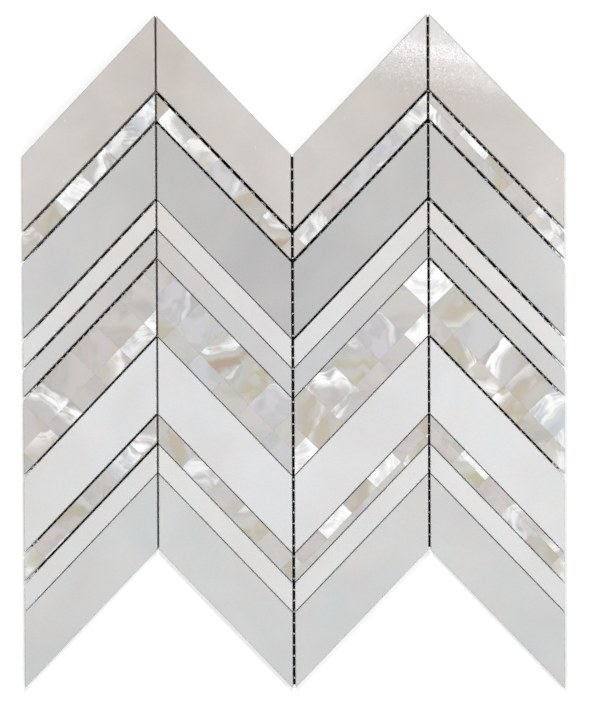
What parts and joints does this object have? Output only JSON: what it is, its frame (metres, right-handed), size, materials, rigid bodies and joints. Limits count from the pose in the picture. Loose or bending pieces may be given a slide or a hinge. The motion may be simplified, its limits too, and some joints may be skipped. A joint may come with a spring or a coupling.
{
  "type": "mother of pearl chevron mosaic tile sheet",
  "caption": "Mesh-backed mosaic sheet of slanted marble and mother of pearl strips, set in a zigzag chevron, for facing walls.",
  "frame": {"origin": "middle of the sheet's bounding box, on the underside of the net", "axes": "+Z out of the polished face, +Y towards the peaks of the zigzag, +X across the columns"},
  "size_m": [0.2432, 0.3026, 0.0085],
  "materials": {
    "warm_marble": "polished warm white dolomite marble",
    "grey_marble": "polished pale grey marble",
    "white_marble": "polished pure white crystalline marble",
    "pearl_shell": "polished nacre with a pearly lustre",
    "backing_slab": "matt unglazed ceramic",
    "glass_net": "resin-coated woven glass fibre"
  },
  "bodies": {
    "root": {"net_lengthwise_threads": "glass_net", "net_crosswise_threads": "glass_net", "warm_wide_1": "warm_marble", "warm_wide_2": "warm_marble", "warm_wide_3": "warm_marble", "warm_wide_4": "warm_marble", "grey_wide_upper_1": "grey_marble", "grey_wide_upper_2": "grey_marble", "grey_wide_upper_3": "grey_marble", "grey_wide_upper_4": "grey_marble", "white_slim_upper_1": "white_marble", "white_slim_upper_2": "white_marble", "white_slim_upper_3": "white_marble", "white_slim_upper_4": "white_marble", "grey_slim_1": "grey_marble", "grey_slim_2": "grey_marble", "grey_slim_3": "grey_marble", "grey_slim_4": "grey_marble", "white_wide_1": "white_marble", "white_wide_2": "white_marble", "white_wide_3": "white_marble", "white_wide_4": "white_marble", "white_slim_lower_1": "white_marble", "white_slim_lower_2": "white_marble", "white_slim_lower_3": "white_marble", "white_slim_lower_4": "white_marble", "grey_wide_lower_1": "grey_marble", "grey_wide_lower_2": "grey_marble", "grey_wide_lower_3": "grey_marble", "grey_wide_lower_4": "grey_marble", "pearl_upper_backing_1": "backing_slab", "pearl_upper_backing_2": "backing_slab", "pearl_upper_backing_3": "backing_slab", "pearl_upper_backing_4": "backing_slab", "pearl_upper_shell_1": "pearl_shell", "pearl_upper_shell_2": "pearl_shell", "pearl_upper_shell_3": "pearl_shell", "pearl_upper_shell_4": "pearl_shell", "pearl_wide_backing_1": "backing_slab", "pearl_wide_backing_2": "backing_slab", "pearl_wide_backing_3": "backing_slab", "pearl_wide_backing_4": "backing_slab", "pearl_wide_shell_1": "pearl_shell", "pearl_wide_shell_2": "pearl_shell", "pearl_wide_shell_3": "pearl_shell", "pearl_wide_shell_4": "pearl_shell", "pearl_lower_backing_1": "backing_slab", "pearl_lower_backing_2": "backing_slab", "pearl_lower_backing_3": "backing_slab", "pearl_lower_backing_4": "backing_slab", "pearl_lower_shell_1": "pearl_shell", "pearl_lower_shell_2": "pearl_shell", "pearl_lower_shell_3": "pearl_shell", "pearl_lower_shell_4": "pearl_shell"}
  },
  "joints": []
}
